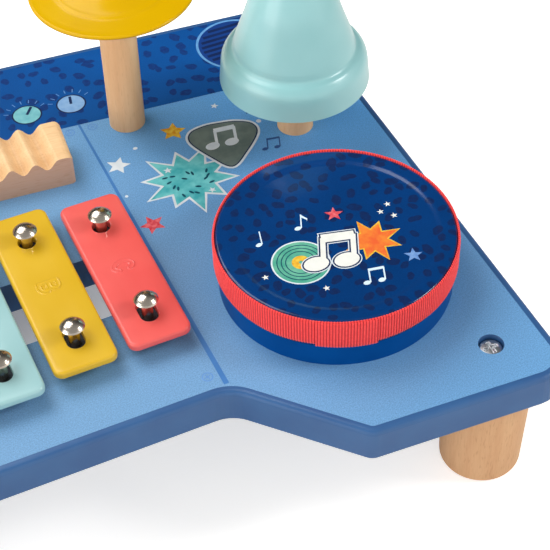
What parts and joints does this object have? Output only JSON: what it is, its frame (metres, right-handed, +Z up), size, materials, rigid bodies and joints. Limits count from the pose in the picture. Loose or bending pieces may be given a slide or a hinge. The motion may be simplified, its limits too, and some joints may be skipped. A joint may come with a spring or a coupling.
{
  "type": "musical activity table",
  "caption": "Low children's music table: a winged board on wooden legs with a metal xylophone, a scraper, a drum, a cymbal and a bell.",
  "frame": {"origin": "on the floor under the middle of the board", "axes": "+X to the right of a child who sits at the front, +Y towards the straight back of the table, +Z up"},
  "size_m": [0.464, 0.264, 0.1449],
  "materials": {
    "board_paint": "satin",
    "beech": "satin",
    "zinc_steel": "satin",
    "insert_brass": "satin",
    "bar_coral": "gloss",
    "bar_yellow": "gloss",
    "bar_mint": "gloss",
    "pin_steel": "gloss",
    "felt": "matte",
    "drum_paint": "satin",
    "drum_film": "gloss",
    "ribbon": "satin",
    "cymbal_yellow": "gloss",
    "bell_mint": "gloss"
  },
  "bodies": {
    "table": {"table_board": "board_paint", "leg_front_left": "beech", "leg_front_right": "beech", "leg_back_left": "beech", "leg_back_right": "beech", "leg_screws": "zinc_steel", "leg_inserts": "insert_brass", "underside_screws": "zinc_steel", "bar_pins": "pin_steel", "bar_felts": "felt", "scraper": "beech", "drum_shell": "drum_paint", "drum_head": "drum_film", "drum_ribbon": "ribbon", "cymbal_post": "beech", "cymbal_felt": "felt", "cymbal_washer": "zinc_steel", "cymbal_screw": "zinc_steel", "bell_post": "beech", "bell_felt": "felt", "bell_washer": "zinc_steel", "bell_screw": "zinc_steel"},
    "cymbal": {"cymbal_plate": "cymbal_yellow"},
    "bell": {"bell_shell": "bell_mint"},
    "bar_c_low_body": {"bar_c_low": "bar_yellow"},
    "bar_d_body": {"bar_d": "bar_coral"},
    "bar_e_body": {"bar_e": "bar_mint"},
    "bar_f_body": {"bar_f": "bar_yellow"},
    "bar_g_body": {"bar_g": "bar_coral"},
    "bar_a_body": {"bar_a": "bar_mint"},
    "bar_b_body": {"bar_b": "bar_yellow"},
    "bar_c_high_body": {"bar_c_high": "bar_coral"}
  },
  "joints": [
    {"name": "bar_c_low_lift", "type": "slide", "parent": "table", "child": "bar_c_low_body", "axis": [0, 0, 1], "range_m": [0, 0.0054]},
    {"name": "bar_d_lift", "type": "slide", "parent": "table", "child": "bar_d_body", "axis": [0, 0, 1], "range_m": [0, 0.0054]},
    {"name": "bar_e_lift", "type": "slide", "parent": "table", "child": "bar_e_body", "axis": [0, 0, 1], "range_m": [0, 0.0054]},
    {"name": "bar_f_lift", "type": "slide", "parent": "table", "child": "bar_f_body", "axis": [0, 0, 1], "range_m": [0, 0.0054]},
    {"name": "bar_g_lift", "type": "slide", "parent": "table", "child": "bar_g_body", "axis": [0, 0, 1], "range_m": [0, 0.0054]},
    {"name": "bar_a_lift", "type": "slide", "parent": "table", "child": "bar_a_body", "axis": [0, 0, 1], "range_m": [0, 0.0054]},
    {"name": "bar_b_lift", "type": "slide", "parent": "table", "child": "bar_b_body", "axis": [0, 0, 1], "range_m": [0, 0.0054]},
    {"name": "bar_c_high_lift", "type": "slide", "parent": "table", "child": "bar_c_high_body", "axis": [0, 0, 1], "range_m": [0, 0.0054]},
    {"name": "cymbal_spin", "type": "hinge", "parent": "table", "child": "cymbal", "pos_m": [0.1348, 0.0652, 0.1402], "axis": [0, 0, 1], "continuous": true},
    {"name": "bell_spin", "type": "hinge", "parent": "table", "child": "bell", "pos_m": [0.1975, 0.0326, 0.1393], "axis": [0, 0, 1], "continuous": true}
  ]
}
